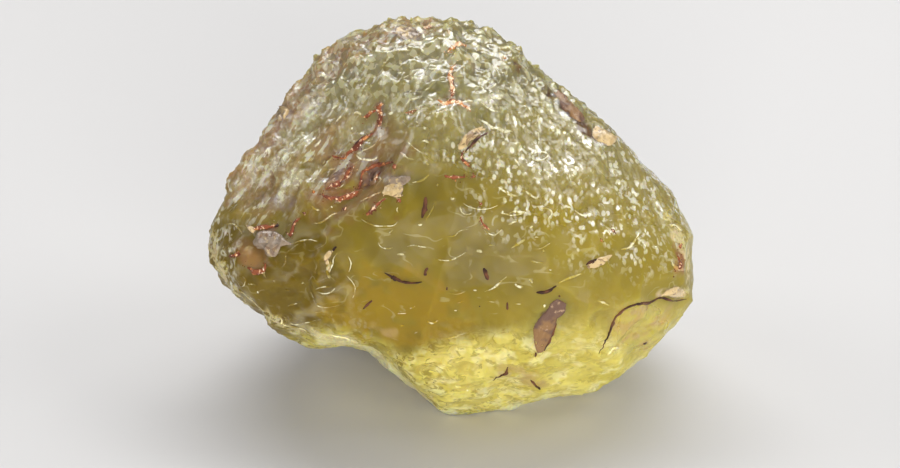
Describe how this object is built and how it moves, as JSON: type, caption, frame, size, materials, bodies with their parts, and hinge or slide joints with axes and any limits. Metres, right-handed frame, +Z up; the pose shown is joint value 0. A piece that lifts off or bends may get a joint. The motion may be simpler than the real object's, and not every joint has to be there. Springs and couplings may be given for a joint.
{
  "type": "libyan desert glass",
  "caption": "Irregular lump of translucent yellow natural glass with a pitted, sand-worn surface and clay in its cracks, lying on a flat underside.",
  "frame": {"origin": "the middle of the stone's bounding box, on the surface that the stone lies on", "axes": "+Z up, +X to the right along the stone's longest way, -Y to the front, which is the side with the broad pitted face"},
  "size_m": [0.0641, 0.0442, 0.0492],
  "materials": {
    "desert_glass": "sand-frosted and cloudy, with glossy pits",
    "clay": "dry and matt, in cracks and pits"
  },
  "bodies": {
    "root": {"desert_glass": "desert_glass"}
  },
  "joints": []
}
